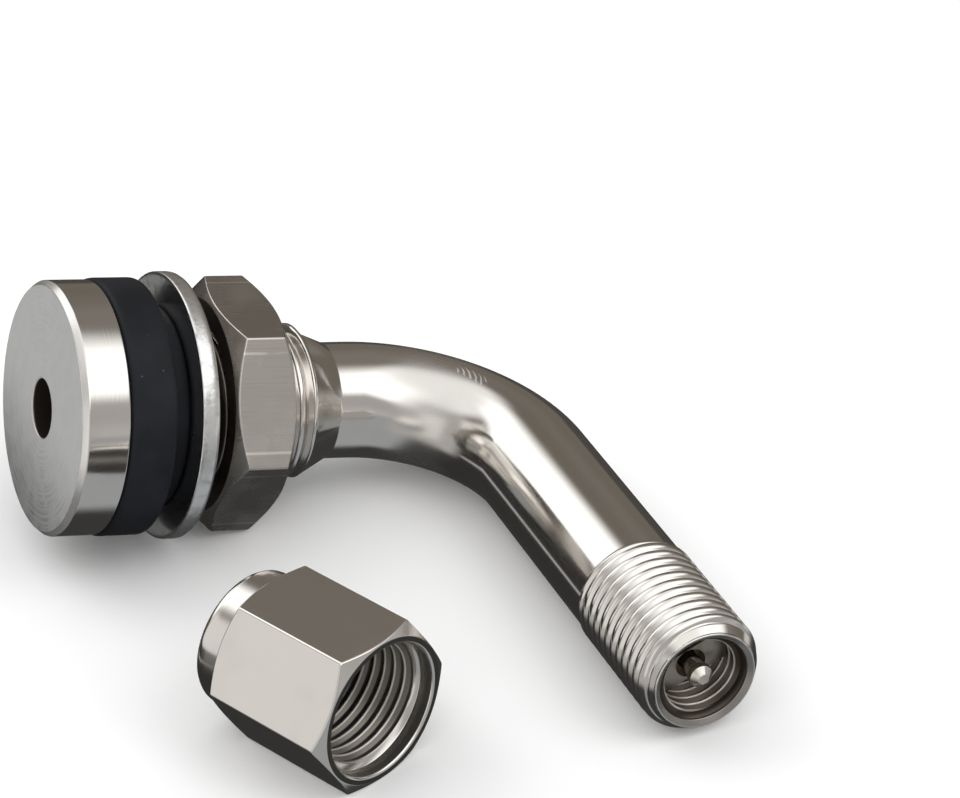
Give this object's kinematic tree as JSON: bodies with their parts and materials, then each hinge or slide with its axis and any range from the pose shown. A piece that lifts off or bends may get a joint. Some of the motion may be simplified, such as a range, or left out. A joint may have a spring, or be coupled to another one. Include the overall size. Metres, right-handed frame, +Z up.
{
  "type": "tyre valve",
  "caption": "Bent bolt-in tyre valve with head disc, rubber rim grommet, washer, hex nut, threaded tip with sprung core, and its hex dust cap lying off beside it.",
  "frame": {"origin": "centre of the box in plan, on the floor that the valve and its cap lie on", "axes": "+Z up; the stem's axis lies in the XZ plane with the head at -X, raised; the tip points to -Y"},
  "size_m": [0.0348, 0.0428, 0.0181],
  "materials": {
    "nickel_plate": "polished",
    "nickel_nut": "satin",
    "zinc_plate": "satin",
    "black_rubber": "matte",
    "core_brass": "satin",
    "core_ring": "satin",
    "spring_steel": "satin"
  },
  "bodies": {
    "valve": {"stem": "nickel_plate", "rim_grommet": "black_rubber", "core_plug": "core_brass", "core_barrel": "core_brass", "core_barrel_seal": "core_ring", "core_spring": "spring_steel", "cap": "nickel_plate", "cap_seal": "black_rubber"},
    "washer": {"washer": "zinc_plate"},
    "nut": {"hex_nut": "nickel_nut"},
    "pin": {"core_pin": "core_brass", "core_cup": "core_brass", "core_cup_seal": "black_rubber"}
  },
  "joints": [
    {"name": "washer_slide", "type": "slide", "parent": "valve", "child": "washer", "axis": [0.9727, 0, -0.2321], "range_m": [0, 0.00601]},
    {"name": "nut_turn", "type": "hinge", "parent": "washer", "child": "nut", "pos_m": [-0.00369, 0.01303, 0.00724], "axis": [0.9727, 0, -0.2321], "range_deg": [0, 2160]},
    {"name": "pin_press", "type": "slide", "parent": "valve", "child": "pin", "axis": [-0.005, 0.9998, -0.021], "range_m": [0, 0.0015], "stiffness_N_per_m": 1000, "springref_m": -0.002, "deforming": ["core_spring"]}
  ],
  "couplings": [
    {"joint": "washer_slide", "follows": "nut_turn", "m_per_rad": 0.00015915}
  ]
}
